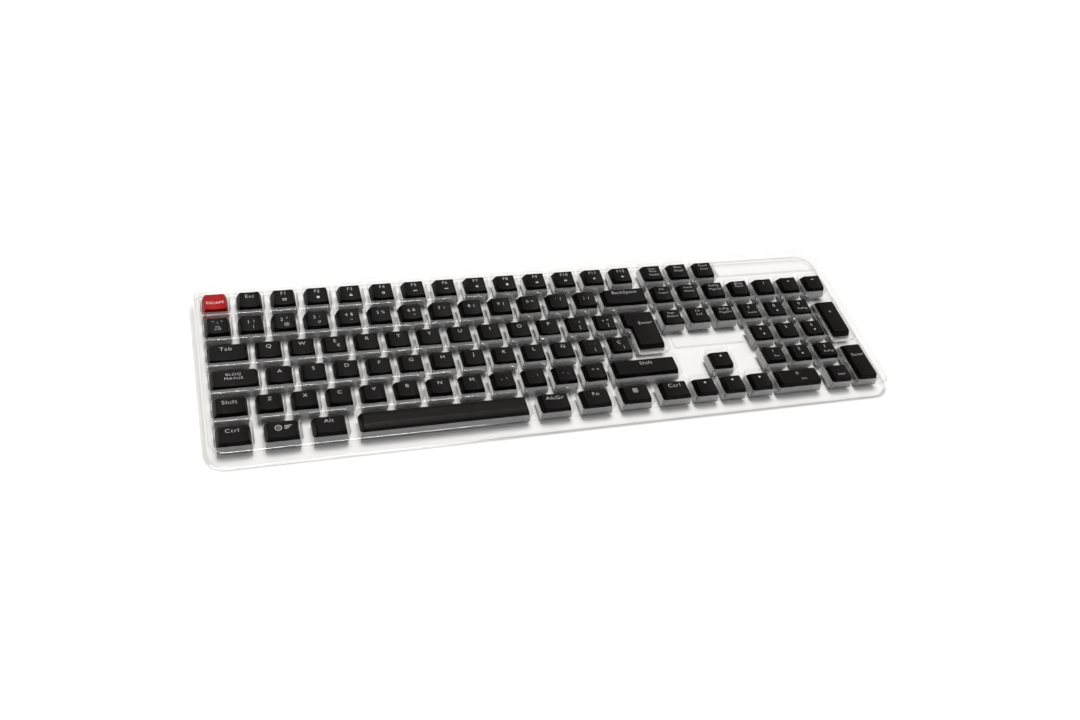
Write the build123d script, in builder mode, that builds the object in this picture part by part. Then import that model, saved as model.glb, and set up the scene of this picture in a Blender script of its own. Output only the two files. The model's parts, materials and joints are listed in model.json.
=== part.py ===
from build123d import *
import os
from math import radians, tan

os.makedirs("parts", exist_ok=True)

# ---------------------------------------------------------------------------
# Keycap set standing in its clear thermoformed tray. Millimetres, +Z up.
# Origin: middle of the footprint, on the surface the tray stands on.
# +X runs along the rows of keys, +Y runs away from the typist.
# ---------------------------------------------------------------------------

# keyboard unit and keycap skirt
UNIT = 19.05                 # one keyboard unit
KEY_BASE = 18.1              # skirt of a one-unit cap, square
KEY_MID = 16.5               # the same cap at SHOULDER height
MID_FRONT = 0.65             # front wall at SHOULDER behind the skirt
SHOULDER = 5.6               # height of the widest bend of the walls
TOP_WIDTH = 13.4             # width of the finger face of a one-unit cap
TOP_DEPTH = 12.9             # depth of the finger face, front to back
TOP_FRONT = 1.25             # front edge of the finger face behind the skirt
BASE_R, MID_R, TOP_R = 0.8, 1.0, 1.1      # vertical corner radii
DISH = 0.75                  # depth of the cylindrical dish
EDGE_R = 0.35                # rounding of the rim of the finger face
WALL = 1.4                   # side wall of the moulding
CROWN = 1.6                  # thickness under the lowest point of the dish

# heights of back and front edge of the finger face over the skirt, per row
ROW_PROFILE = {
    "function": (11.2, 9.95),
    "number": (11.7, 10.45),
    "upper": (9.4, 8.9),
    "home": (9.7, 9.5),
    "lower": (10.2, 10.6),
    "bottom": (10.1, 10.6),
}

# switch socket: round post with a cross-shaped blind slot
POST_R = 2.75
POST_UP = 0.5                # the post ends this far above the skirt's edge
CROSS_LONG = 4.1
CROSS_WIDE = 1.3
CROSS_NARROW = 1.15
CROSS_DEEP = 3.9
STAB_2U = 11.9375            # outer sockets of caps from 2 to 2.75 units
STAB_SPACE = 50.0            # outer sockets of the 6.25-unit space bar

# tray
SHEET = 0.5                  # sheet after forming
STAND = 3.5                  # pocket floors stand this far over the table
DECK = 9.3                   # deck over the pocket floors
POCKET_PLAY = 0.4            # floor of a pocket round a skirt, each side
POCKET_DRAFT = 4.0           # degrees
POCKET_R = 1.3
SKIRT_DRAFT = 6.0            # degrees
FLANGE = 2.5                 # rim round the foot of the skirt
FLANGE_T = 0.6
TRAY_R = 11.0                # corner radius of the deck
DECK_X0, DECK_X1 = -5.2, 500.5        # deck edges, from the first key's skirt
DECK_Y0, DECK_Y1 = -127.05, 24.65       # deck edges, from the back row's front
RECESS_DEEP = 4.0            # empty compartments, below the deck
RECESS_DRAFT = 12.0
RECESSES = [                 # left, front, right, back on the deck
    (402.0, 0.2, 495.5, 16.2),      # spare compartment behind the number pad
    (337.5, -71.8, 402.0, -57.0),   # spare compartment before the Delete block
]
SHELF = 4.6                  # shelf before the long upright keys, below deck
SHELF_RUN = 5.2

# key grid, from the left front corner of the back row
ROW_PITCH = 24.0
COL_PITCH = 22.8             # columns of navigation keys and number pad
F_PITCH = 23.93
GAP_UPPER, GAP_HOME, GAP_LOWER, GAP_BOTTOM = 4.63, 4.61, 4.99, 7.97
NAV_X = 338.2
PAD_X = 406.2

GAUGE_X = -(DECK_X0 + DECK_X1) / 2
GAUGE_Y = -(DECK_Y0 + DECK_Y1) / 2
FLOOR_Z = STAND


def span(units):
    """Skirt width of a cap that many units long."""
    return KEY_BASE + (units - 1) * UNIT


def front(row):
    """Front of the skirts in row 0 (back) to 5 (front)."""
    return -row * ROW_PITCH


# ---------------------------------------------------------------------------
# Keycap shapes: skirt corner at x 0, y 0, skirt edge on z 0
# ---------------------------------------------------------------------------
def finger_plane(d, profile):
    """Plane of the finger face, tilted with the row, centred on the face."""
    back, fore = ROW_PROFILE[profile]
    depth = TOP_DEPTH + (d - KEY_BASE)
    rise = back - fore
    run = (depth**2 - rise**2) ** 0.5
    centre = (TOP_FRONT + run / 2, (back + fore) / 2)
    return centre, rise / run, depth


def socket_centres(w, d):
    """Posts under a cap: one in the middle, two more under a long cap."""
    cx, cy = w / 2, d / 2
    out = [(cx, cy)]
    if w > span(6):
        out += [(cx - STAB_SPACE, cy), (cx + STAB_SPACE, cy)]
    elif w >= span(2) - 0.01:
        out += [(cx - STAB_2U, cy), (cx + STAB_2U, cy)]
    if d >= span(2) - 0.01:
        out += [(cx, cy - STAB_2U), (cx, cy + STAB_2U)]
    return out


def make_cap(units_w, units_d, profile):
    w, d = span(units_w), span(units_d)
    (ty, tz), slope, depth = finger_plane(d, profile)
    tw = TOP_WIDTH + (w - KEY_BASE)
    mw = KEY_MID + (w - KEY_BASE)
    md = KEY_MID + (d - KEY_BASE) - 0.3
    mid_y = MID_FRONT
    normal = Vector(0, -slope, 1)
    face = Plane(origin=(w / 2, ty, tz), x_dir=(1, 0, 0), z_dir=normal)
    under = face.offset(-(DISH + CROWN))
    radius = (tw / 2) ** 2 / (2 * DISH) + DISH / 2
    convex = w > span(6)
    with BuildPart() as cap:
        # outer walls, swelling a little towards the shoulder
        with BuildSketch(Plane.XY):
            with Locations((w / 2, d / 2)):
                RectangleRounded(w, d, BASE_R)
        with BuildSketch(Plane.XY.offset(SHOULDER)):
            with Locations((w / 2, mid_y + md / 2)):
                RectangleRounded(mw, md, MID_R)
        with BuildSketch(face):
            RectangleRounded(tw, depth, TOP_R)
        loft()
        if convex:
            # the space bar is crowned along its length
            with Locations(Plane(origin=(w / 2, ty, tz - 17.0 + 0.3),
                                 x_dir=(0, 0, -1), z_dir=(1, 0, 0))):
                Cylinder(17.0, w + 4, mode=Mode.INTERSECT)
        else:
            # cylindrical dish that runs from front to back
            with Locations(Plane(origin=(w / 2, ty, tz) + normal.normalized()
                                 * (radius - DISH),
                                 x_dir=(1, 0, 0),
                                 z_dir=Vector(0, 1, slope))):
                Cylinder(radius, d + 8, mode=Mode.SUBTRACT)
            rim = cap.faces().sort_by(Axis.Z)[-1].edges()
            fillet(rim, EDGE_R)
    with BuildPart() as room:
        # inside of the moulding
        with BuildSketch(Plane.XY.offset(-0.01)):
            with Locations((w / 2, d / 2)):
                RectangleRounded(w - 2 * WALL, d - 2 * WALL, 0.5)
        with BuildSketch(under):
            RectangleRounded(tw - 2 * WALL, depth - 2 * WALL, 0.7)
        loft(ruled=True)
    with BuildPart() as posts:
        with BuildSketch(Plane.XY.offset(POST_UP)):
            with Locations(*socket_centres(w, d)):
                Circle(POST_R)
        extrude(amount=min(ROW_PROFILE[profile]) - DISH - POST_UP - 0.6)
        with BuildSketch(Plane.XY.offset(POST_UP)):
            with Locations(*socket_centres(w, d)):
                Rectangle(CROSS_LONG, CROSS_WIDE)
                Rectangle(CROSS_NARROW, CROSS_LONG)
        extrude(amount=CROSS_DEEP, mode=Mode.SUBTRACT)
    with BuildPart() as whole:
        add(cap.part)
        add(room.part, mode=Mode.SUBTRACT)
        add(posts.part)
    return whole.part


def outline_l(w, d, notch_w, notch_d):
    """Corners of an upright L: full depth on the right, notch at front left."""
    return [(notch_w, 0), (w, 0), (w, d), (0, d), (0, notch_d), (notch_w, notch_d)]


def make_iso_enter(profile):
    """Tall L-shaped Enter: 1.5 units wide behind, 1.25 units in front."""
    w, d = span(1.5), span(2)
    nw, nd = 0.25 * UNIT, UNIT
    (ty, tz), slope, depth = finger_plane(d, profile)
    normal = Vector(0, -slope, 1)
    inset = (KEY_BASE - TOP_WIDTH) / 2
    face = Plane(origin=(inset, ty - depth / 2, tz - slope * depth / 2),
                 x_dir=(1, 0, 0), z_dir=normal)
    under = face.offset(-(DISH + CROWN))
    tw = w - 2 * inset
    radius = (tw / 2) ** 2 / (2 * DISH) + DISH / 2
    stem_x = (w + nw) / 2
    with BuildPart() as cap:
        with BuildSketch(Plane.XY) as low:
            with BuildLine():
                Polyline(*outline_l(w, d, nw, nd), close=True)
            make_face()
            fillet(low.vertices(), BASE_R)
        e = (KEY_BASE - KEY_MID) / 2
        with BuildSketch(Plane.XY.offset(SHOULDER)) as mid:
            with BuildLine():
                Polyline((nw + e, MID_FRONT), (w - e, MID_FRONT),
                         (w - e, d - 2 * e + 0.35), (e, d - 2 * e + 0.35),
                         (e, nd + MID_FRONT), (nw + e, nd + MID_FRONT), close=True)
            make_face()
            fillet(mid.vertices(), 0.9)
        with BuildSketch(face) as top:
            with BuildLine():
                Polyline(*outline_l(tw, depth, nw, nd), close=True)
            make_face()
            fillet(top.vertices(), 1.0)
        loft()
        with Locations(Plane(origin=(w / 2, ty, tz) + normal.normalized()
                             * (radius - DISH),
                             x_dir=(1, 0, 0), z_dir=Vector(0, 1, slope))):
            Cylinder(radius, d + 8, mode=Mode.SUBTRACT)
        rim = cap.faces().sort_by(Axis.Z)[-1].edges()
        fillet(rim, EDGE_R)
    with BuildPart() as room:
        with BuildSketch(Plane.XY.offset(-0.01)):
            with BuildLine():
                Polyline((nw + WALL, WALL), (w - WALL, WALL), (w - WALL, d - WALL),
                         (WALL, d - WALL), (WALL, nd + WALL), (nw + WALL, nd + WALL),
                         close=True)
            make_face()
        with BuildSketch(under):
            with BuildLine():
                Polyline((nw + WALL, WALL), (tw - WALL, WALL),
                         (tw - WALL, depth - WALL), (WALL, depth - WALL),
                         (WALL, nd + WALL), (nw + WALL, nd + WALL), close=True)
            make_face()
        loft(ruled=True)
    with BuildPart() as posts:
        spots = [(stem_x, d / 2), (stem_x, d / 2 - STAB_2U), (stem_x, d / 2 + STAB_2U)]
        with BuildSketch(Plane.XY.offset(POST_UP)):
            with Locations(*spots):
                Circle(POST_R)
        extrude(amount=min(ROW_PROFILE[profile]) - DISH - POST_UP - 0.6)
        with BuildSketch(Plane.XY.offset(POST_UP)):
            with Locations(*spots):
                Rectangle(CROSS_LONG, CROSS_WIDE)
                Rectangle(CROSS_NARROW, CROSS_LONG)
        extrude(amount=CROSS_DEEP, mode=Mode.SUBTRACT)
    with BuildPart() as whole:
        add(cap.part)
        add(room.part, mode=Mode.SUBTRACT)
        add(posts.part)
    return whole.part


# ---------------------------------------------------------------------------
# Where every cap stands: node name, shape, left front corners of the skirts
# ---------------------------------------------------------------------------
def run(x, pitch, first, last, row):
    return [(x + i * pitch, front(row)) for i in range(first, last)]


UP0 = span(1.5) + GAP_UPPER              # first letter key, upper row
UPP = KEY_BASE + GAP_UPPER
HO0 = span(1.75) + GAP_HOME              # first letter key, home row
HOP = KEY_BASE + GAP_HOME
LO0 = span(1.25) + GAP_LOWER             # first key beside the left shift
LOP = KEY_BASE + GAP_LOWER
BOP = span(1.25) + GAP_BOTTOM            # bottom row, 1.25-unit keys
SPACE_X = 3 * BOP
RIGHT_X = SPACE_X + span(6.25) + GAP_BOTTOM
ENTER_X = UP0 + 12 * UPP
ENTER_Y = front(2) - UNIT                # stands against the back of its room
PAD_LAST = PAD_X + 3 * COL_PITCH

KEYS = [
    # node, (width units, depth units, row profile), places
    ("red_accent_cap", (1, 1, "function"), run(0, F_PITCH, 0, 1, 0)),
    ("escape_cap", (1, 1, "function"), run(0, F_PITCH, 1, 2, 0)),
    ("f1_f2_caps", (1, 1, "function"), run(0, F_PITCH, 2, 4, 0)),
    ("f3_f4_caps", (1, 1, "function"), run(0, F_PITCH, 4, 6, 0)),
    ("f5_f6_caps", (1, 1, "function"), run(0, F_PITCH, 6, 8, 0)),
    ("f7_f8_caps", (1, 1, "function"), run(0, F_PITCH, 8, 10, 0)),
    ("f9_f10_caps", (1, 1, "function"), run(0, F_PITCH, 10, 12, 0)),
    ("f11_f12_caps", (1, 1, "function"), run(0, F_PITCH, 12, 14, 0)),
    ("print_scroll_pause_caps", (1, 1, "function"), run(NAV_X, COL_PITCH, 0, 3, 0)),
    ("number_caps_ordinal_to_3", (1, 1, "number"), run(0, COL_PITCH, 0, 4, 1)),
    ("number_caps_4_to_7", (1, 1, "number"), run(0, COL_PITCH, 4, 8, 1)),
    ("number_caps_8_to_0", (1, 1, "number"), run(0, COL_PITCH, 8, 11, 1)),
    ("number_row_sign_caps", (1, 1, "number"), run(0, COL_PITCH, 11, 13, 1)),
    ("backspace_cap", (2, 1, "number"), [(13 * COL_PITCH, front(1))]),
    ("insert_home_pageup_caps", (1, 1, "number"), run(NAV_X, COL_PITCH, 0, 3, 1)),
    ("numlock_divide_caps", (1, 1, "number"), run(PAD_X, COL_PITCH, 0, 2, 1)),
    ("multiply_minus_caps", (1, 1, "number"), run(PAD_X, COL_PITCH, 2, 4, 1)),
    ("tab_cap", (1.5, 1, "upper"), [(0, front(2))]),
    ("letter_caps_q_w_e", (1, 1, "upper"), run(UP0, UPP, 0, 3, 2)),
    ("letter_caps_r_t_y", (1, 1, "upper"), run(UP0, UPP, 3, 6, 2)),
    ("letter_caps_u_i_o_p", (1, 1, "upper"), run(UP0, UPP, 6, 10, 2)),
    ("upper_row_sign_caps", (1, 1, "upper"), run(UP0, UPP, 10, 12, 2)),
    ("enter_cap", "iso", [(ENTER_X, ENTER_Y)]),
    ("delete_end_pagedown_caps", (1, 1, "upper"), run(NAV_X, COL_PITCH, 0, 3, 2)),
    ("pad_caps_7_8_9", (1, 1, "upper"), run(PAD_X, COL_PITCH, 0, 3, 2)),
    ("pad_plus_cap", (1, 2, "home"), [(PAD_LAST, front(3))]),
    ("caps_lock_cap", (1.75, 1, "home"), [(0, front(3))]),
    ("letter_caps_a_s_d", (1, 1, "home"), run(HO0, HOP, 0, 3, 3)),
    ("letter_caps_f_g_h", (1, 1, "home"), run(HO0, HOP, 3, 6, 3)),
    ("letter_caps_j_k_l", (1, 1, "home"), run(HO0, HOP, 6, 9, 3)),
    ("home_row_sign_caps", (1, 1, "home"), run(HO0, HOP, 9, 12, 3)),
    ("pad_caps_4_5_6", (1, 1, "home"), run(PAD_X, COL_PITCH, 0, 3, 3)),
    ("left_shift_cap", (1.25, 1, "lower"), [(0, front(4))]),
    ("letter_caps_z_x_c", (1, 1, "lower"), run(LO0, LOP, 0, 3, 4)),
    ("letter_caps_v_b_n_m", (1, 1, "lower"), run(LO0, LOP, 3, 7, 4)),
    ("lower_row_sign_caps", (1, 1, "lower"), run(LO0, LOP, 7, 11, 4)),
    ("right_shift_cap", (2.75, 1, "lower"), [(LO0 + 11 * LOP, front(4))]),
    ("up_arrow_cap", (1, 1, "lower"), run(NAV_X, COL_PITCH, 1, 2, 4)),
    ("pad_caps_1_2_3", (1, 1, "lower"), run(PAD_X, COL_PITCH, 0, 3, 4)),
    ("pad_enter_cap", (1, 2, "bottom"), [(PAD_LAST, front(5))]),
    ("left_control_cap", (1.25, 1, "bottom"), [(0, front(5))]),
    ("left_system_cap", (1.25, 1, "bottom"), [(BOP, front(5))]),
    ("left_alt_cap", (1.25, 1, "bottom"), [(2 * BOP, front(5))]),
    ("space_bar_cap", (6.25, 1, "bottom"), [(SPACE_X, front(5))]),
    ("alt_gr_cap", (1.25, 1, "bottom"), [(RIGHT_X, front(5))]),
    ("function_key_cap", (1.25, 1, "bottom"), [(RIGHT_X + BOP, front(5))]),
    ("menu_cap", (1.25, 1, "bottom"), [(RIGHT_X + 2 * BOP, front(5))]),
    ("right_control_cap", (1.25, 1, "bottom"), [(RIGHT_X + 3 * BOP, front(5))]),
    ("left_arrow_cap", (1, 1, "bottom"), run(NAV_X, COL_PITCH, 0, 1, 5)),
    ("down_arrow_cap", (1, 1, "bottom"), run(NAV_X, COL_PITCH, 1, 2, 5)),
    ("right_arrow_cap", (1, 1, "bottom"), run(NAV_X, COL_PITCH, 2, 3, 5)),
    ("pad_zero_cap", (2, 1, "bottom"), [(PAD_X, front(5))]),
    ("pad_point_cap", (1, 1, "bottom"), run(PAD_X, COL_PITCH, 2, 3, 5)),
]

# ---------------------------------------------------------------------------
# Keycaps, each node its own file
# ---------------------------------------------------------------------------
shapes = {}
pockets = {}                 # (skirt width, skirt depth) -> left front corners
for node, kind, places in KEYS:
    if kind not in shapes:
        shapes[kind] = make_iso_enter("upper") if kind == "iso" else make_cap(*kind)
    with BuildPart() as caps:
        for x, y in places:
            with Locations((x + GAUGE_X, y + GAUGE_Y, FLOOR_Z)):
                add(shapes[kind])
    caps.part.label = node
    export_step(caps.part, f"parts/{node}.step")
    size = (span(1.5), span(2)) if kind == "iso" else (span(kind[0]), span(kind[1]))
    if kind != "iso":
        pockets.setdefault(size, []).extend(places)

# ---------------------------------------------------------------------------
# Tray: one formed sheet with a pocket per cap, skirt and foot flange
# ---------------------------------------------------------------------------
deck_w, deck_d = DECK_X1 - DECK_X0, DECK_Y1 - DECK_Y0
deck_z = FLOOR_Z + DECK
foot_z = 0.0
skirt_out = (deck_z - foot_z) * tan(radians(SKIRT_DRAFT))

def grown_l(play):
    """Outline of the Enter pocket's floor, grown outward by the play."""
    nw, nd, w, d = 0.25 * UNIT, UNIT, span(1.5), span(2)
    return [(nw - play, -play), (w + play, -play), (w + play, d + play),
            (-play, d + play), (-play, nd - play), (nw - play, nd - play)]


SHELVES = [(ENTER_X + 0.25 * UNIT, ENTER_X + span(1.5), ENTER_Y),
           (PAD_LAST, PAD_LAST + KEY_BASE, front(3))]

with BuildPart() as tray:
    # deck and skirt as a solid block, hollowed from below
    with BuildSketch(Plane.XY.offset(deck_z)):
        RectangleRounded(deck_w, deck_d, TRAY_R)
    extrude(amount=-(deck_z - foot_z), taper=-SKIRT_DRAFT)
    with BuildSketch(Plane.XY.offset(foot_z)):
        RectangleRounded(deck_w + 2 * skirt_out + 2 * FLANGE,
                         deck_d + 2 * skirt_out + 2 * FLANGE,
                         TRAY_R + skirt_out + FLANGE)
    extrude(amount=FLANGE_T)
    with BuildSketch(Plane.XY.offset(deck_z - SHEET)):
        RectangleRounded(deck_w - 2 * SHEET, deck_d - 2 * SHEET, TRAY_R - SHEET)
    extrude(amount=-(deck_z - SHEET - foot_z), taper=-SKIRT_DRAFT, mode=Mode.SUBTRACT)
    # outsides of the pockets
    for shell, play in ((True, POCKET_PLAY + SHEET), (False, POCKET_PLAY)):
        floor = FLOOR_Z - (SHEET if shell else 0)
        rise = deck_z - (SHEET / 2 if shell else 0) - floor
        mode = Mode.ADD if shell else Mode.SUBTRACT
        for (w, d), spots in pockets.items():
            with BuildSketch(Plane.XY.offset(floor)):
                with Locations(*[(x + w / 2 + GAUGE_X, y + d / 2 + GAUGE_Y)
                                 for x, y in spots]):
                    RectangleRounded(w + 2 * play, d + 2 * play,
                                     POCKET_R + (SHEET if shell else 0))
            extrude(amount=rise, taper=-POCKET_DRAFT, mode=mode)
        with BuildSketch(Plane.XY.offset(floor)):
            with BuildLine():
                Polyline(*[(x + ENTER_X + GAUGE_X, y + ENTER_Y + GAUGE_Y)
                           for x, y in grown_l(play)], close=True)
            make_face()
        extrude(amount=rise, taper=-POCKET_DRAFT, mode=mode)
        # shallow empty compartments, drawn at their floors
        floor = deck_z - RECESS_DEEP - (SHEET if shell else 0)
        rise = deck_z - (SHEET / 2 if shell else 0) - floor
        inset = RECESS_DEEP * tan(radians(RECESS_DRAFT)) - (SHEET if shell else 0)
        for x0, y0, x1, y1 in RECESSES:
            with BuildSketch(Plane.XY.offset(floor)):
                with Locations(((x0 + x1) / 2 + GAUGE_X, (y0 + y1) / 2 + GAUGE_Y)):
                    RectangleRounded(x1 - x0 - 2 * inset, y1 - y0 - 2 * inset, 1.6)
            extrude(amount=rise, taper=-RECESS_DRAFT, mode=mode)
        # shelves that open into the pockets of Enter and the pad's plus key
        floor = deck_z - SHELF - (SHEET if shell else 0)
        rise = deck_z - (SHEET / 2 if shell else 0) - floor
        for x0, x1, y in SHELVES:
            with BuildSketch(Plane.XY.offset(floor)):
                with Locations(((x0 + x1) / 2 + GAUGE_X,
                                y - (SHELF_RUN - 1.5) / 2 + GAUGE_Y)):
                    Rectangle(x1 - x0 + 2 * play, SHELF_RUN + 1.5 + 2 * (play - POCKET_PLAY))
            extrude(amount=rise, taper=-POCKET_DRAFT, mode=mode)

tray.part.label = "blister_tray"
export_step(tray.part, "parts/blister_tray.step")
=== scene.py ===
import json
import math

import bmesh
import bpy
from mathutils import Matrix, Vector, geometry
from mathutils.bvhtree import BVHTree

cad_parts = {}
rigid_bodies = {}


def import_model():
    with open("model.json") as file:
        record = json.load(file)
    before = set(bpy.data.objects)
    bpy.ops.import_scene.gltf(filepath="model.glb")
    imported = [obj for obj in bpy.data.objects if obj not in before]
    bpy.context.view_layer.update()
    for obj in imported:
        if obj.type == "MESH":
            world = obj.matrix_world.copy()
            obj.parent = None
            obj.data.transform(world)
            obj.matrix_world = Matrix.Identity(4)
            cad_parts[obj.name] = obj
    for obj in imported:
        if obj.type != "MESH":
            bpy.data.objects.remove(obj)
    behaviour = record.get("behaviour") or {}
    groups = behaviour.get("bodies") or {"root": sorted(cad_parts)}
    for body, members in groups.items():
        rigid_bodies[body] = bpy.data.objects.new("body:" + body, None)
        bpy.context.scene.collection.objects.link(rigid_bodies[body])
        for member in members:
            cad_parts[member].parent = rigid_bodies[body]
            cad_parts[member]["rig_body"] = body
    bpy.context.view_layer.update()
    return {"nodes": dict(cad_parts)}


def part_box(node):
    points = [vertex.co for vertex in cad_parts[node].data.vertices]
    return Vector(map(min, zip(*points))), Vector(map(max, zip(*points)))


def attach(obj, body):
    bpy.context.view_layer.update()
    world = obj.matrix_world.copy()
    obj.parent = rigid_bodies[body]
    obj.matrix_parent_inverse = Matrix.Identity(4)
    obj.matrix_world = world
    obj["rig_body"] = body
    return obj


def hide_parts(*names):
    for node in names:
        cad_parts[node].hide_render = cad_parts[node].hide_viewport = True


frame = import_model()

MM = 0.001
NODES = frame["nodes"]
TAU = 2 * math.pi

# ---------------------------------------------------------------------------
# Sizes of the formed tray, in metres (those of the CAD part)
# ---------------------------------------------------------------------------
UNIT = 19.05 * MM
KEY_BASE = 18.1 * MM
TOP_WIDTH = 13.4 * MM
TOP_DEPTH = 12.9 * MM
TOP_FRONT = 1.25 * MM
PLAY = 0.4 * MM
DRAFT = math.radians(4)
SKIRT_DRAFT = math.radians(6)
SHELF = 4.6 * MM
SHELF_RUN = 5.2 * MM
RECESS_DEEP = 4.0 * MM
RECESS_DRAFT = math.radians(12)

tray_lo, tray_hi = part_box("blister_tray")
DECK_Z = tray_hi.z
cap_lo, cap_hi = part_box("escape_cap")
FLOOR_Z = cap_lo.z
SHEET_FLOOR = FLOOR_Z - 0.06 * MM       # the sheet under the skirts
SHEET_DECK = DECK_Z - 0.02 * MM


# ---------------------------------------------------------------------------
# Materials
# ---------------------------------------------------------------------------
class Tree:
    """A material's node tree with short calls for making and joining nodes."""

    def __init__(self, name):
        self.mat = bpy.data.materials.new(name)
        self.mat.use_nodes = True
        self.nt = self.mat.node_tree
        self.nt.nodes.clear()
        self.out = self.nt.nodes.new("ShaderNodeOutputMaterial")
        self.coord = self.nt.nodes.new("ShaderNodeTexCoord").outputs["Object"]

    def node(self, kind, **values):
        n = self.nt.nodes.new(kind)
        for k, v in values.items():
            setattr(n, k, v)
        return n

    def join(self, a, b):
        self.nt.links.new(a, b)

    def put(self, socket, value):
        if isinstance(value, bpy.types.NodeSocket):
            self.join(value, socket)
        else:
            socket.default_value = value

    def maths(self, op, a, b=None, clamp=False):
        n = self.node("ShaderNodeMath", operation=op, use_clamp=clamp)
        self.put(n.inputs[0], a)
        if b is not None:
            self.put(n.inputs[1], b)
        return n.outputs[0]

    def noise(self, per_metre, detail=3.0, rough=0.55, stretch=None):
        n = self.node("ShaderNodeTexNoise")
        n.inputs["Scale"].default_value = per_metre
        n.inputs["Detail"].default_value = detail
        n.inputs["Roughness"].default_value = rough
        if stretch:
            m = self.node("ShaderNodeMapping")
            m.inputs["Scale"].default_value = stretch
            self.join(self.coord, m.inputs["Vector"])
            self.join(m.outputs["Vector"], n.inputs["Vector"])
        else:
            self.join(self.coord, n.inputs["Vector"])
        return n.outputs["Fac"]

    def spread(self, fac, lo, hi, a=0.3, b=0.7):
        n = self.node("ShaderNodeMapRange", clamp=True)
        self.put(n.inputs["Value"], fac)
        n.inputs["From Min"].default_value = a
        n.inputs["From Max"].default_value = b
        n.inputs["To Min"].default_value = lo
        n.inputs["To Max"].default_value = hi
        return n.outputs["Result"]

    def colours(self, fac, *stops):
        n = self.node("ShaderNodeValToRGB")
        ramp = n.color_ramp
        while len(ramp.elements) < len(stops):
            ramp.elements.new(0.5)
        for e, (at, rgb) in zip(ramp.elements, stops):
            e.position = at
            e.color = (*rgb, 1)
        self.put(n.inputs["Fac"], fac)
        return n.outputs["Color"]

    def bump(self, height, strength, distance):
        n = self.node("ShaderNodeBump")
        n.inputs["Strength"].default_value = strength
        n.inputs["Distance"].default_value = distance
        self.join(height, n.inputs["Height"])
        return n.outputs["Normal"]

    def principled(self, **values):
        n = self.node("ShaderNodeBsdfPrincipled")
        for k, v in values.items():
            self.put(n.inputs[k.replace("_", " ")], v)
        return n


def moulded_plastic(name, dark, mid, worn, rough_lo, rough_hi, level):
    """Satin moulded plastic: fine spark-eroded grain, uneven gloss, paler rims."""
    t = Tree(name)
    broad = t.noise(42, 3)
    fine = t.noise(2600, 2)
    smear = t.noise(150, 4, 0.65, (1.0, 0.35, 1.0))
    body = t.colours(broad, (0.3, dark), (0.7, mid))
    point = t.node("ShaderNodeNewGeometry").outputs["Pointiness"]
    edge = t.spread(point, 0.0, 0.55, 0.505, 0.56)
    scuffed = t.maths("MULTIPLY", edge, t.spread(t.noise(700, 3), 0.35, 1.0))
    mix = t.node("ShaderNodeMix", data_type="RGBA")
    t.join(scuffed, mix.inputs["Factor"])
    t.join(body, mix.inputs["A"])
    mix.inputs["B"].default_value = (*worn, 1)
    rough = t.spread(smear, rough_lo, rough_hi)
    grain = t.node("ShaderNodeMix", data_type="FLOAT")
    grain.inputs["Factor"].default_value = 0.82
    t.join(smear, grain.inputs["A"])
    t.join(fine, grain.inputs["B"])
    p = t.principled(Base_Color=mix.outputs["Result"], Roughness=rough)
    p.inputs["Specular IOR Level"].default_value = level
    t.join(t.bump(grain.outputs["Result"], 0.5, 0.03 * MM), p.inputs["Normal"])
    t.join(p.outputs[0], t.out.inputs["Surface"])
    return t.mat


def printed_ink(name, low, high):
    """Pad-printed legend ink: pale grey, a little worn and uneven."""
    t = Tree(name)
    wear = t.noise(1400, 4, 0.7)
    broad = t.noise(90, 2)
    mixed = t.maths("MULTIPLY", t.spread(wear, 0.82, 1.0), t.spread(broad, 0.9, 1.0))
    colour = t.colours(mixed, (0.7, low), (1.0, high))
    p = t.principled(Base_Color=colour, Roughness=t.spread(wear, 0.45, 0.62))
    p.inputs["Specular IOR Level"].default_value = 0.3
    t.join(t.bump(wear, 0.3, 0.01 * MM), p.inputs["Normal"])
    t.join(p.outputs[0], t.out.inputs["Surface"])
    return t.mat


def formed_sheet(name):
    """Thin clear thermoformed sheet: two close surfaces in one skin. What is seen
    through it is dimmed a little; the mirrored share grows with the glancing
    angle; handling haze and forming waves break the reflections up."""
    t = Tree(name)
    waves = t.noise(55, 2, 0.5)
    ripple = t.noise(420, 3, 0.6, (1.0, 1.0, 0.35))
    scuff = t.noise(900, 5, 0.75, (1.0, 0.25, 1.0))
    height = t.node("ShaderNodeMix", data_type="FLOAT")
    height.inputs["Factor"].default_value = 0.05
    t.join(waves, height.inputs["A"])
    t.join(ripple, height.inputs["B"])
    normal = t.bump(height.outputs["Result"], 0.05, 0.9 * MM)
    facing = t.node("ShaderNodeLayerWeight")
    facing.inputs["Blend"].default_value = 0.5
    t.join(normal, facing.inputs["Normal"])
    fifth = t.maths("POWER", facing.outputs["Facing"], 4.6)
    one = t.maths("ADD", t.maths("MULTIPLY", fifth, 0.95), 0.048)
    both = t.maths("DIVIDE", t.maths("MULTIPLY", one, 2.0), t.maths("ADD", one, 1.0))
    haze = t.spread(scuff, 0.0, 0.03, 0.55, 0.85)
    share = t.maths("ADD", both, haze, clamp=True)
    clear = t.node("ShaderNodeBsdfTransparent")
    t.join(t.colours(waves, (0.3, (0.898, 0.892, 0.886)), (0.7, (0.922, 0.916, 0.91))),
           clear.inputs["Color"])
    gloss = t.principled(Base_Color=t.colours(scuff, (0.35, (0.93, 0.935, 0.94)),
                                              (0.75, (0.84, 0.85, 0.85))),
                         Roughness=t.spread(scuff, 0.07, 0.2))
    gloss.inputs["Metallic"].default_value = 1.0
    t.join(normal, gloss.inputs["Normal"])
    mix = t.node("ShaderNodeMixShader")
    t.join(share, mix.inputs[0])
    t.join(clear.outputs[0], mix.inputs[1])
    t.join(gloss.outputs[0], mix.inputs[2])
    t.join(mix.outputs[0], t.out.inputs["Surface"])
    return t.mat


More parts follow.
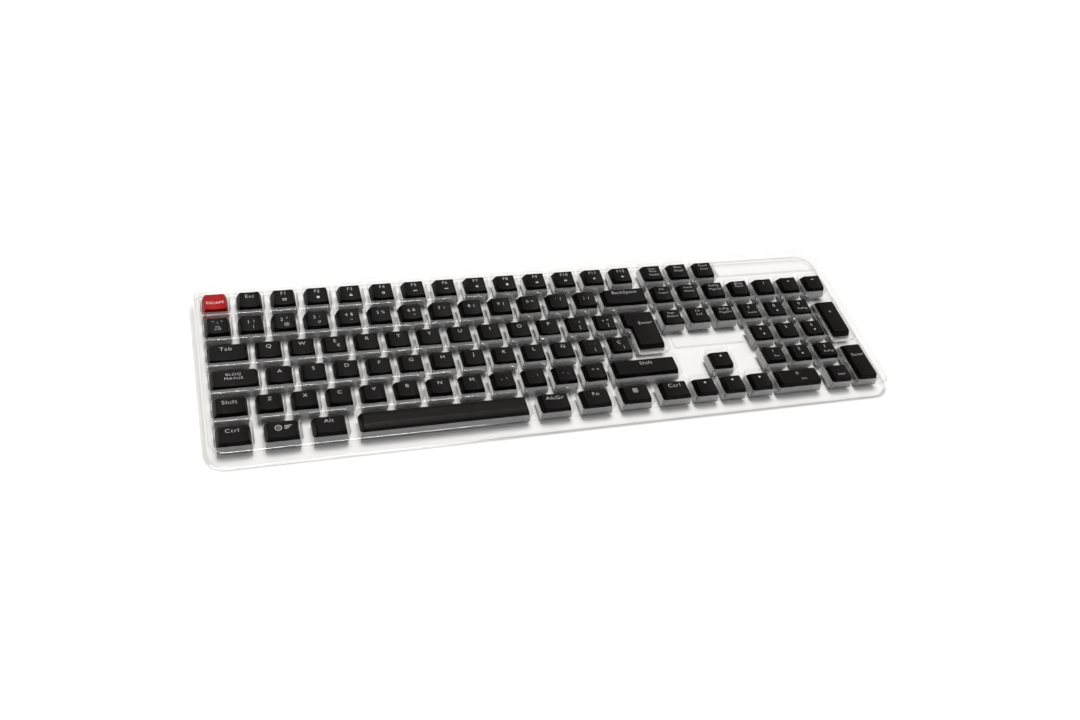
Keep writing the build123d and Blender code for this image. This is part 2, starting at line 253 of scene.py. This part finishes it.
def plain_floor(name):
    t = Tree(name)
    soft = t.noise(3.0, 2)
    p = t.principled(Base_Color=t.colours(soft, (0.3, (0.93, 0.93, 0.93)),
                                          (0.7, (0.945, 0.945, 0.945))),
                     Roughness=0.9)
    p.inputs["Specular IOR Level"].default_value = 0.0
    t.join(p.outputs[0], t.out.inputs["Surface"])
    return t.mat


BLACK = moulded_plastic("black_keycap_plastic", (0.0024, 0.0020, 0.0019),
                        (0.0036, 0.0030, 0.0028), (0.016, 0.014, 0.013),
                        0.38, 0.5, 0.06)
RED = moulded_plastic("red_keycap_plastic", (0.28, 0.004, 0.006),
                      (0.34, 0.006, 0.008), (0.44, 0.034, 0.03), 0.36, 0.48, 0.06)
INK = printed_ink("pale_legend_ink", (0.36, 0.36, 0.36), (0.6, 0.6, 0.6))
INK_ON_RED = printed_ink("pale_legend_ink_on_red", (0.6, 0.42, 0.42),
                         (0.85, 0.72, 0.72))
CLEAR = formed_sheet("clear_formed_sheet")


def dress(obj, mat):
    obj.data.materials.clear()
    obj.data.materials.append(mat)


# ---------------------------------------------------------------------------
# What each cap carries. Marks: (kind or text, x, y, height) in millimetres
# from the middle of the finger face
# ---------------------------------------------------------------------------
def two(left, right, low=None):
    """Number-row style: sign pair over a third sign."""
    marks = [(left, -1.9, 1.6, 2.6), (right, 1.9, 1.7, 2.5)]
    if low:
        marks.append((low, 1.2, -2.6, 2.4))
    return marks


def letter(c):
    return [(c, 0.0, 3.0, 2.9)]


def fkey(n, icon):
    return [(f"F{n}", 0.0, 3.9, 2.5), (icon, 0.3, -1.8, 2.6)]


def word(*lines, size=2.2, x=0.0, y=1.0, step=3.0):
    top = y + step * (len(lines) - 1) / 2
    return [(s, x, top - i * step, size) for i, s in enumerate(lines)]


def pad(number, under=None):
    marks = [(number, -0.4, 3.4, 2.7)]
    if under:
        marks.append((under, 0.6, -1.8, 1.9))
    return marks


def nav(*lines):
    """Navigation cap: short name near the back, the long one under it."""
    return [(s, 0.3 * i, 4.3 - 2.7 * i - (0.9 if i == len(lines) - 1 else 0.0), 1.9)
            for i, s in enumerate(lines)]


LEGENDS = {
    "red_accent_cap": [word("ESCAPE", size=2.05, y=-0.8)],
    "escape_cap": [word("Esc", size=2.8, x=0.2, y=3.2)],
    "f1_f2_caps": [fkey(1, "@frame"), fkey(2, "@disc")],
    "f3_f4_caps": [fkey(3, "@note"), fkey(4, "@turn")],
    "f5_f6_caps": [fkey(5, "@bar"), fkey(6, "@bar")],
    "f7_f8_caps": [fkey(7, "@pause"), fkey(8, "@square")],
    "f9_f10_caps": [fkey(9, "@back"), fkey(10, "@forward")],
    "f11_f12_caps": [fkey(11, "@low"), fkey(12, "@high")],
    "print_scroll_pause_caps": [nav("Impr", "Pant", "PetSis"), nav("Bloq", "Despl"),
                                nav("Pausa", "Inter")],
    "number_caps_ordinal_to_3": [
        [("º", -2.9, 3.0, 2.5), ("\\", 0.0, 2.6, 2.2), ("ª", 3.0, 3.0, 2.5),
         ("FN", 0.0, -0.9, 1.4), ("LUZ", 0.0, -2.9, 1.4)],
        two("1", "!", "|"), two("2", "\"", "@"), two("3", "·", "#")],
    "number_caps_4_to_7": [two("4", "$", "~"), two("5", "%"), two("6", "&", "¬"),
                           two("7", "/")],
    "number_caps_8_to_0": [two("8", "("), two("9", ")"), two("0", "=")],
    "number_row_sign_caps": [two("'", "?"), two("¡", "¿")],
    "backspace_cap": [word("BackSpace", size=2.7, x=0.1, y=3.9)],
    "insert_home_pageup_caps": [nav("Ins", "Insert"), nav("Inicio", "Home"),
                                nav("RePág", "PageUp")],
    "numlock_divide_caps": [word("Bloq", "Num", size=2.1, y=3.2, step=2.7),
                            [("/", 0.0, 3.0, 2.9)]],
    "multiply_minus_caps": [[("*", 0.0, 2.6, 3.2)], [("@bar", 0.0, 3.2, 2.2)]],
    "tab_cap": [word("Tab", size=3.1, x=-1.2, y=3.4)],
    "letter_caps_q_w_e": [letter("Q"), letter("W"),
                          letter("E") + [("€", 2.3, -1.2, 2.5)]],
    "letter_caps_r_t_y": [letter(c) for c in "RTY"],
    "letter_caps_u_i_o_p": [letter(c) for c in "UIOP"],
    "upper_row_sign_caps": [two("`", "^", "["), two("+", "*", "]")],
    "enter_cap": [word("Enter", size=2.8, x=3.6, y=5.8)],
    "delete_end_pagedown_caps": [nav("Supr", "Delete"), nav("Fin", "End"),
                                 nav("AvPág", "PageDn")],
    "pad_caps_7_8_9": [pad("7", "Inicio"), pad("8", "@tri_up"), pad("9", "RePág")],
    "pad_plus_cap": [[("+", 0.0, 6.0, 3.4)]],
    "caps_lock_cap": [word("BLOQ", "MAYUS", size=2.15, x=-0.6, y=1.8, step=3.5)],
    "letter_caps_a_s_d": [letter(c) for c in "ASD"],
    "letter_caps_f_g_h": [letter("F"), letter("G"), letter("H")],
    "letter_caps_j_k_l": [letter("J"), letter("K"), letter("L")],
    "home_row_sign_caps": [letter("Ñ"), two("´", "¨", "{"),
                           [("Ç", -1.2, 2.4, 2.8), ("}", 1.6, -2.4, 2.4)]],
    "pad_caps_4_5_6": [pad("4", "@tri_left"), pad("5"), pad("6", "@tri_right")],
    "left_shift_cap": [word("Shift", size=3.1, x=-0.4, y=3.0)],
    "letter_caps_z_x_c": [letter(c) for c in "ZXC"],
    "letter_caps_v_b_n_m": [letter(c) for c in "VBNM"],
    "lower_row_sign_caps": [two(",", ";"), two(".", ":"), two("-", "_"), two("<", ">")],
    "right_shift_cap": [word("Shift", size=3.1, x=0.8, y=3.4)],
    "up_arrow_cap": [[("@tri_up", 0.0, 3.6, 2.2)]],
    "pad_caps_1_2_3": [pad("1", "Fin"), pad("2", "@tri_down"), pad("3", "AvPág")],
    "pad_enter_cap": [word("Enter", size=2.6, x=0.6, y=6.4)],
    "left_control_cap": [word("Ctrl", size=3.0, x=-0.8, y=3.3)],
    "left_system_cap": [[("@ring", -2.6, 1.6, 4.6), ("@lines", 3.4, 1.8, 4.2)]],
    "left_alt_cap": [word("Alt", size=2.95, x=-0.6, y=3.5)],
    "space_bar_cap": [[]],
    "alt_gr_cap": [word("AltGr", size=3.1, y=3.3)],
    "function_key_cap": [word("Fn", size=3.2, y=3.2)],
    "menu_cap": [[("@menu", -0.3, 2.6, 3.8)]],
    "right_control_cap": [word("Ctrl", size=3.3, y=3.6)],
    "left_arrow_cap": [[("@tri_left", 0.0, 3.4, 2.2)]],
    "down_arrow_cap": [[("@tri_down", 0.0, 3.4, 2.2)]],
    "right_arrow_cap": [[("@tri_right", 0.0, 3.4, 2.2)]],
    "pad_zero_cap": [[("0", 0.0, 3.4, 2.8), ("Ins", 3.6, -2.4, 2.0)]],
    "pad_point_cap": [pad(".", "Supr")],
}


# ---------------------------------------------------------------------------
# Where the caps stand: left front corner, width and depth of every skirt
# ---------------------------------------------------------------------------
def low_ring(node):
    """Box of the lowest edge of a node."""
    vs = [v.co for v in NODES[node].data.vertices]
    low = min(v.z for v in vs) + 0.12 * MM
    ring = [v for v in vs if v.z < low]
    return (min(v.x for v in ring), min(v.y for v in ring),
            max(v.x for v in ring), max(v.y for v in ring))


def row_of(node, count):
    x0, y0, x1, y1 = low_ring(node)
    if count == 1:
        return [(x0, y0, x1 - x0, y1 - y0)]
    pitch = (x1 - x0 - KEY_BASE) / (count - 1)
    return [(x0 + i * pitch, y0, KEY_BASE, y1 - y0) for i in range(count)]


PLACES = {node: row_of(node, len(marks)) for node, marks in LEGENDS.items()}


# ---------------------------------------------------------------------------
# The formed sheet
# ---------------------------------------------------------------------------
def ring(corners, off, r_out, r_in, steps=6):
    """An axis-aligned outline, counter-clockwise, grown by off, with round corners.
    Returns the same number of points for any off."""
    n = len(corners)
    pts = []
    for i, (x, y) in enumerate(corners):
        px, py = corners[i - 1]
        qx, qy = corners[(i + 1) % n]
        l1, l2 = math.hypot(x - px, y - py), math.hypot(qx - x, qy - y)
        d1, d2 = ((x - px) / l1, (y - py) / l1), ((qx - x) / l2, (qy - y) / l2)
        n1, n2 = (d1[1], -d1[0]), (d2[1], -d2[0])
        vx, vy = x + off * (n1[0] + n2[0]), y + off * (n1[1] + n2[1])
        bulge = d1[0] * d2[1] - d1[1] * d2[0] > 0
        r = max((r_out + off) if bulge else (r_in - off), 0.08 * MM)
        s = 1 if bulge else -1
        cx, cy = vx - s * r * (n1[0] + n2[0]), vy - s * r * (n1[1] + n2[1])
        for k in range(steps + 1):
            a = k / steps * math.pi / 2
            c, e = math.cos(a), math.sin(a)
            pts.append((cx + s * r * (n1[0] * c + n2[0] * e),
                        cy + s * r * (n1[1] * c + n2[1] * e)))
    return pts


def foot_arc(base_off, floor, draft, r, steps=4):
    """Concave fillet from a floor up to a wall that starts at base_off."""
    z = floor + r - r * math.sin(draft)
    wall = base_off + (z - floor) * math.tan(draft)
    c = wall - r * math.cos(draft)
    out = []
    for k in range(steps + 1):
        a = -math.pi / 2 + (math.pi / 2 - draft) * k / steps
        out.append((c + r * math.cos(a), floor + r + r * math.sin(a)))
    return out


def lip_arc(base_off, floor, deck, draft, r, steps=5):
    """Convex fillet from that wall over to the deck."""
    z = deck - r + r * math.sin(draft)
    wall = base_off + (z - floor) * math.tan(draft)
    c = wall + r * math.cos(draft)
    out = []
    for k in range(steps + 1):
        a = draft + (math.pi / 2 - draft) * k / steps
        out.append((c - r * math.cos(a), deck - r + r * math.sin(a)))
    return out


class Skin:
    def __init__(self):
        self.bm = bmesh.new()

    def add_ring(self, pts, z):
        return [self.bm.verts.new((x, y, z)) for x, y in pts]

    def strip(self, a, b, smooth=True):
        n = len(a)
        for i in range(n):
            j = (i + 1) % n
            try:
                f = self.bm.faces.new((a[i], a[j], b[j], b[i]))
                f.smooth = smooth
            except ValueError:
                pass

    def cap(self, ring_):
        f = self.bm.faces.new(ring_)
        f.smooth = False


skin = Skin()
holes = []                    # outlines cut out of the deck


def pocket(corners, deep_floor, base_off, draft, r_out, r_in, r_low, r_lip,
           shelf_run=0.0):
    """Sinks a pocket with the given outline into the deck. With shelf_run its front
    side steps out to a shelf part of the way up."""
    low = foot_arc(base_off, deep_floor, draft, r_low)
    high = lip_arc(base_off, deep_floor, SHEET_DECK, draft, r_lip)
    prior = None
    outline = corners
    rows = list(low)
    if shelf_run:
        z = SHEET_DECK - SHELF
        off = base_off + (z - deep_floor) * math.tan(draft)
        rows += [(off - 0.02 * MM, z - 0.5 * MM), (off, z)]
    for i, (off, z) in enumerate(rows):
        new = skin.add_ring(ring(outline, off, r_out, r_in), z)
        if prior is None:
            skin.cap(new)
        else:
            skin.strip(prior, new)
        prior = new
    if shelf_run:
        front = min(y for _, y in corners)
        outline = [(x, y - shelf_run if y == front else y) for x, y in corners]
        off = base_off + (z - deep_floor) * math.tan(draft)
        new = skin.add_ring(ring(outline, off, r_out, r_in), z + 0.02 * MM)
        skin.strip(prior, new, smooth=False)
        prior = new
    for off, z in high:
        new = skin.add_ring(ring(outline, off, r_out, r_in), z)
        skin.strip(prior, new)
        prior = new
    holes.append(ring(outline, high[-1][0], r_out, r_in))


def rect(x0, y0, x1, y1):
    return [(x0, y0), (x1, y0), (x1, y1), (x0, y1)]


for node, places in PLACES.items():
    for x, y, w, d in places:
        if node == "enter_cap":
            nw, nd = 0.25 * UNIT, UNIT
            shape = [(x + nw, y), (x + w, y), (x + w, y + d), (x, y + d),
                     (x, y + nd), (x + nw, y + nd)]
        else:
            shape = rect(x, y, x + w, y + d)
        pocket(shape, SHEET_FLOOR, PLAY, DRAFT, 0.9 * MM, 2.2 * MM, 0.35 * MM,
               0.95 * MM, SHELF_RUN if node in ("enter_cap", "pad_plus_cap") else 0.0)

# two empty compartments: behind the number pad, and before the Delete block
px, py = low_ring("numlock_divide_caps")[0], low_ring("print_scroll_pause_caps")[1]
nx, ny = low_ring("delete_end_pagedown_caps")[0], low_ring("delete_end_pagedown_caps")[1]
for x0, y0, x1, y1 in ((px - 4.2 * MM, py + 0.2 * MM, px + 89.3 * MM, py + 16.2 * MM),
                       (nx - 0.7 * MM, ny - 23.8 * MM, nx + 63.8 * MM, ny - 9.0 * MM)):
    inset = RECESS_DEEP * math.tan(RECESS_DRAFT)
    pocket(rect(x0 + inset, y0 + inset, x1 - inset, y1 - inset), SHEET_DECK - RECESS_DEEP,
           0.0, RECESS_DRAFT, 1.6 * MM, 1.6 * MM, 0.8 * MM, 0.9 * MM)

# deck edge, outer skirt and foot flange
skirt_out = DECK_Z * math.tan(SKIRT_DRAFT)
deck_x, deck_y = tray_hi.x - skirt_out - 2.5 * MM, tray_hi.y - skirt_out - 2.5 * MM
edge_r, foot_r, flange_z = 1.3 * MM, 0.7 * MM, 0.55 * MM
profile = []
for k in range(6):
    a = math.pi / 2 - (math.pi / 2 - SKIRT_DRAFT) * k / 5
    z = DECK_Z - edge_r + edge_r * math.sin(SKIRT_DRAFT)
    c = (DECK_Z - z) * math.tan(SKIRT_DRAFT) - edge_r * math.cos(SKIRT_DRAFT)
    profile.append((c + edge_r * math.cos(a), SHEET_DECK - edge_r + edge_r * math.sin(a)))
z = flange_z + foot_r - foot_r * math.sin(SKIRT_DRAFT)
c = (DECK_Z - z) * math.tan(SKIRT_DRAFT) + foot_r * math.cos(SKIRT_DRAFT)
for k in range(5):
    a = SKIRT_DRAFT + (math.pi / 2 - SKIRT_DRAFT) * k / 4
    profile.append((c - foot_r * math.cos(a), flange_z + foot_r - foot_r * math.sin(a)))
rim = skirt_out + 2.5 * MM
profile += [(rim - 0.45 * MM, flange_z), (rim - 0.12 * MM, flange_z - 0.1 * MM),
            (rim, flange_z - 0.3 * MM), (rim, 0.03 * MM)]
deck_shape = rect(-deck_x, -deck_y, deck_x, deck_y)
prior = None
for off, z in profile:
    pts = ring(deck_shape, off, 11 * MM, 0, steps=16)
    new = skin.add_ring(pts, z)
    if prior:
        skin.strip(new, prior)
    else:
        outer = pts
    prior = new

# flat deck between the outer edge and all the pockets
points, edges = [], []
for loop in [outer] + holes:
    start = len(points)
    points += [Vector(p) for p in loop]
    edges += [(start + i, start + (i + 1) % len(loop)) for i in range(len(loop))]
flat, _, tris, *_ = geometry.delaunay_2d_cdt(points, edges, [], 0, 1e-7)


def inside(p, loop):
    hit = False
    for i, (x1, y1) in enumerate(loop):
        x2, y2 = loop[i - 1]
        if (y1 > p[1]) != (y2 > p[1]) and p[0] < (x2 - x1) * (p[1] - y1) / (y2 - y1) + x1:
            hit = not hit
    return hit


boxes = [(min(x for x, _ in h), min(y for _, y in h), max(x for x, _ in h),
          max(y for _, y in h), h) for h in holes]
deck_verts = [skin.bm.verts.new((p.x, p.y, SHEET_DECK)) for p in flat]
for tri in tris:
    c = sum((flat[i] for i in tri), Vector((0, 0))) / len(tri)
    if not inside(c, outer):
        continue
    if any(x0 < c.x < x1 and y0 < c.y < y1 and inside(c, h) for x0, y0, x1, y1, h in boxes):
        continue
    f = skin.bm.faces.new([deck_verts[i] for i in tri])
    f.smooth = False
bmesh.ops.remove_doubles(skin.bm, verts=skin.bm.verts, dist=2e-6)
loose = [v for v in skin.bm.verts if not v.link_faces]
bmesh.ops.delete(skin.bm, geom=loose, context="VERTS")
bmesh.ops.recalc_face_normals(skin.bm, faces=skin.bm.faces)
mesh = bpy.data.meshes.new("tray_sheet")
skin.bm.to_mesh(mesh)
skin.bm.free()
sheet = bpy.data.objects.new("tray_sheet", mesh)
bpy.context.scene.collection.objects.link(sheet)
dress(sheet, CLEAR)
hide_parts("blister_tray")
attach(sheet, "tray")


# ---------------------------------------------------------------------------
# Legends: flat shapes laid on the dished finger faces
# ---------------------------------------------------------------------------
def poly_mark(parts):
    """Flat mesh data from convex or simple outlines: (points, faces)."""
    pts, faces = [], []
    for p in parts:
        faces.append(list(range(len(pts), len(pts) + len(p))))
        pts += p
    return pts, faces


def band(outline_a, outline_b):
    """Quads between two closed outlines of the same length."""
    n = len(outline_a)
    return [[outline_a[i], outline_a[(i + 1) % n], outline_b[(i + 1) % n], outline_b[i]]
            for i in range(n)]


def box_at(x0, y0, x1, y1):
    return [(x0, y0), (x1, y0), (x1, y1), (x0, y1)]


def circle(r, n=28, cx=0.0, cy=0.0):
    return [(cx + r * math.cos(TAU * i / n), cy + r * math.sin(TAU * i / n))
            for i in range(n)]


def turned(parts, quarter):
    c, s = [(1, 0), (0, 1), (-1, 0), (0, -1)][quarter]
    return [[(x * c - y * s, x * s + y * c) for x, y in p] for p in parts]


def is_icon(what):
    return len(what) > 1 and what.startswith("@")


def icon(kind):
    """Outlines of a generic sign, one unit high, middle on the origin."""
    pointer = [[(-0.36, -0.5), (0.5, 0.0), (-0.36, 0.5)]]
    frame_ = band(box_at(-0.5, -0.36, 0.5, 0.36), box_at(-0.36, -0.22, 0.36, 0.22))
    signs = {
        "@frame": frame_,
        "@disc": [circle(0.42)],
        "@note": [box_at(-0.42, -0.34, 0.42, -0.08), box_at(-0.42, 0.1, 0.3, 0.3)],
        "@turn": band(circle(0.42), circle(0.26)),
        "@bar": [box_at(-0.55, -0.12, 0.55, 0.12)],
        "@pause": [box_at(-0.32, -0.36, -0.1, 0.36), box_at(0.1, -0.36, 0.32, 0.36)],
        "@square": [box_at(-0.34, -0.34, 0.34, 0.34)],
        "@back": [[(0.0, -0.36), (0.0, 0.36), (-0.45, 0.0)],
                  [(0.45, -0.36), (0.45, 0.36), (0.0, 0.0)]],
        "@forward": [[(0.0, 0.36), (0.0, -0.36), (0.45, 0.0)],
                     [(-0.45, 0.36), (-0.45, -0.36), (0.0, 0.0)]],
        "@low": [box_at(-0.45, -0.16, -0.2, 0.16), [(-0.2, -0.16), (0.1, -0.4),
                 (0.1, 0.4), (-0.2, 0.16)], box_at(0.22, -0.06, 0.5, 0.06)],
        "@high": [box_at(-0.45, -0.16, -0.2, 0.16), [(-0.2, -0.16), (0.1, -0.4),
                  (0.1, 0.4), (-0.2, 0.16)], box_at(0.22, -0.06, 0.54, 0.06),
                  box_at(0.32, 0.06, 0.44, 0.18), box_at(0.32, -0.18, 0.44, -0.06)],
        "@tri_right": pointer,
        "@tri_up": turned(pointer, 1),
        "@tri_left": turned(pointer, 2),
        "@tri_down": turned(pointer, 3),
        "@lines": [box_at(-0.5, 0.22, 0.62, 0.32), box_at(-0.5, -0.05, 0.36, 0.05),
                   box_at(-0.5, -0.32, 0.1, -0.22)],
        "@ring": band(circle(0.5, 40), circle(0.4, 40)) +
                 [box_at(-0.2, -0.05, 0.2, 0.05)],
        "@menu": band(box_at(-0.44, -0.5, 0.44, 0.5), box_at(-0.34, -0.4, 0.34, 0.4)) +
                 [box_at(-0.24, 0.12, 0.24, 0.2), box_at(-0.24, -0.06, 0.24, 0.02),
                  box_at(-0.24, -0.24, 0.24, -0.16)],
    }
    return poly_mark(signs[kind])


def text_data():
    """Every text as a flat mesh, made once: {(text): (points, faces, height)}."""
    wanted = sorted({m[0] for marks in LEGENDS.values() for cap in marks for m in cap
                     if not is_icon(m[0])})
    made, objs = {}, []
    for i, s in enumerate(wanted):
        c = bpy.data.curves.new(f"text_{i}", "FONT")
        c.body = s
        c.size = 1.0
        c.align_x = "CENTER"
        c.fill_mode = "FRONT"
        c.resolution_u = 4
        c.offset = -0.004 if s == "ESCAPE" else -0.016
        c.space_character = 1.12
        o = bpy.data.objects.new(f"text_{i}", c)
        bpy.context.scene.collection.objects.link(o)
        objs.append((s, o))
    bpy.context.view_layer.update()
    dg = bpy.context.evaluated_depsgraph_get()
    for s, o in objs:
        m = bpy.data.meshes.new_from_object(o.evaluated_get(dg))
        pts = [(v.co.x, v.co.y) for v in m.vertices]
        faces = [list(p.vertices) for p in m.polygons]
        made[s] = (pts, faces)
        bpy.data.meshes.remove(m)
    for _, o in objs:
        c = o.data
        bpy.data.objects.remove(o)
        bpy.data.curves.remove(c)
    return made


TEXTS = text_data()
CAP_HEIGHT = max(y for _, y in TEXTS["Ctrl"][0])     # of a capital, at size 1


def cut_fine(bm, step):
    """Splits edges longer than step, so that a mark follows the dish."""
    for _ in range(4):
        long = [e for e in bm.edges if e.calc_length() > step]
        if not long:
            return
        bmesh.ops.subdivide_edges(bm, edges=long, cuts=1, use_grid_fill=False)
        bmesh.ops.triangulate(bm, faces=[f for f in bm.faces if len(f.verts) > 3])


for node, marks_of in LEGENDS.items():
    body = NODES[node]
    dress(body, RED if node == "red_accent_cap" else BLACK)
    if not any(marks_of):
        continue
    src = bmesh.new()
    src.from_mesh(body.data)
    tree = BVHTree.FromBMesh(src)
    src.free()
    bm = bmesh.new()
    for (x, y, w, d), marks in zip(PLACES[node], marks_of):
        cx, cy = x + w / 2, y + TOP_FRONT + (TOP_DEPTH + d - KEY_BASE) / 2
        for what, mx, my, high in marks:
            if is_icon(what):
                pts, faces = icon(what)
                scale, mid = high * MM, 0.0
            else:
                pts, faces = TEXTS[what]
                scale, mid = high * MM / CAP_HEIGHT, CAP_HEIGHT / 2
            wide = 1.0 if is_icon(what) else 1.12
            vs = [bm.verts.new((cx + mx * MM + px_ * scale * wide,
                                cy + my * MM + (py_ - mid) * scale, 0.0))
                  for px_, py_ in pts]
            for f in faces:
                try:
                    bm.faces.new([vs[i] for i in f])
                except ValueError:
                    pass
    cut_fine(bm, 1.2 * MM)
    gone = []
    for v in bm.verts:
        hit = tree.ray_cast(Vector((v.co.x, v.co.y, 0.05)), Vector((0, 0, -1)))
        if hit[0] is None:
            gone.append(v)
        else:
            v.co.z = hit[0].z + 0.03 * MM
    bmesh.ops.delete(bm, geom=gone, context="VERTS")
    for f in bm.faces:
        f.smooth = True
        if f.normal.z < 0:
            f.normal_flip()
    m = bpy.data.meshes.new("legend_" + node)
    bm.to_mesh(m)
    bm.free()
    o = bpy.data.objects.new("legend_" + node, m)
    bpy.context.scene.collection.objects.link(o)
    dress(o, INK_ON_RED if node == "red_accent_cap" else INK)
    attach(o, body["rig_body"])

# ---------------------------------------------------------------------------
# Floor, light and camera
# ---------------------------------------------------------------------------
fm = bpy.data.meshes.new("floor")
fm.from_pydata([(-4, -4, -0.0002), (4, -4, -0.0002), (4, 4, -0.0002), (-4, 4, -0.0002)],
               [], [(0, 1, 2, 3)])
floor = bpy.data.objects.new("floor", fm)
bpy.context.scene.collection.objects.link(floor)
dress(floor, plain_floor("plain_floor"))

world = bpy.data.worlds.new("studio")
bpy.context.scene.world = world
world.use_nodes = True
bg = world.node_tree.nodes["Background"]
bg.inputs["Color"].default_value = (1.0, 1.0, 1.0, 1)
bg.inputs["Strength"].default_value = 0.2


def soft_box(name, at, aim, size, power):
    light = bpy.data.lights.new(name, "AREA")
    light.shape = "RECTANGLE"
    light.size, light.size_y = size
    light.energy = power
    o = bpy.data.objects.new(name, light)
    o.location = at
    o.rotation_euler = (Vector(aim) - Vector(at)).to_track_quat("-Z", "Y").to_euler()
    bpy.context.scene.collection.objects.link(o)


soft_box("high_box", (-0.05, 0.75, 2.9), (0, 0, 0), (1.5, 1.2), 100.0)
soft_box("back_panel", (0.95, 1.9, 2.15), (0, 0, 0), (3.6, 1.9), 16.0)

cam_data = bpy.data.cameras.new("camera")
cam_data.sensor_fit = "HORIZONTAL"
cam_data.sensor_width = 36.0
cam_data.lens = 36.01
cam_data.clip_start = 0.01
cam_data.clip_end = 20
cam = bpy.data.objects.new("camera", cam_data)
right = Vector((0.94876694, -0.26496833, 0.17214261))
down = Vector((-0.08570979, -0.74018081, -0.66692293))
ahead = Vector((0.30413011, 0.61800012, -0.72496946))
place = Matrix.Identity(4)
for i, axis in enumerate((right, -down, -ahead)):
    for j in range(3):
        place[j][i] = axis[j]
place.translation = Vector((-0.25635, -0.50537, 0.58024))
cam.matrix_world = place
bpy.context.scene.collection.objects.link(cam)
bpy.context.scene.camera = cam

scene = bpy.context.scene
scene.view_settings.view_transform = "Standard"
scene.view_settings.look = "None"
scene.view_settings.exposure = 0.0
scene.view_settings.gamma = 1.0
scene.cycles.max_bounces = 16
scene.cycles.diffuse_bounces = 5
scene.cycles.glossy_bounces = 6
scene.cycles.transparent_max_bounces = 48
scene.cycles.use_denoising = True
scene.cycles.sample_clamp_indirect = 6.0

bpy.context.view_layer.update()
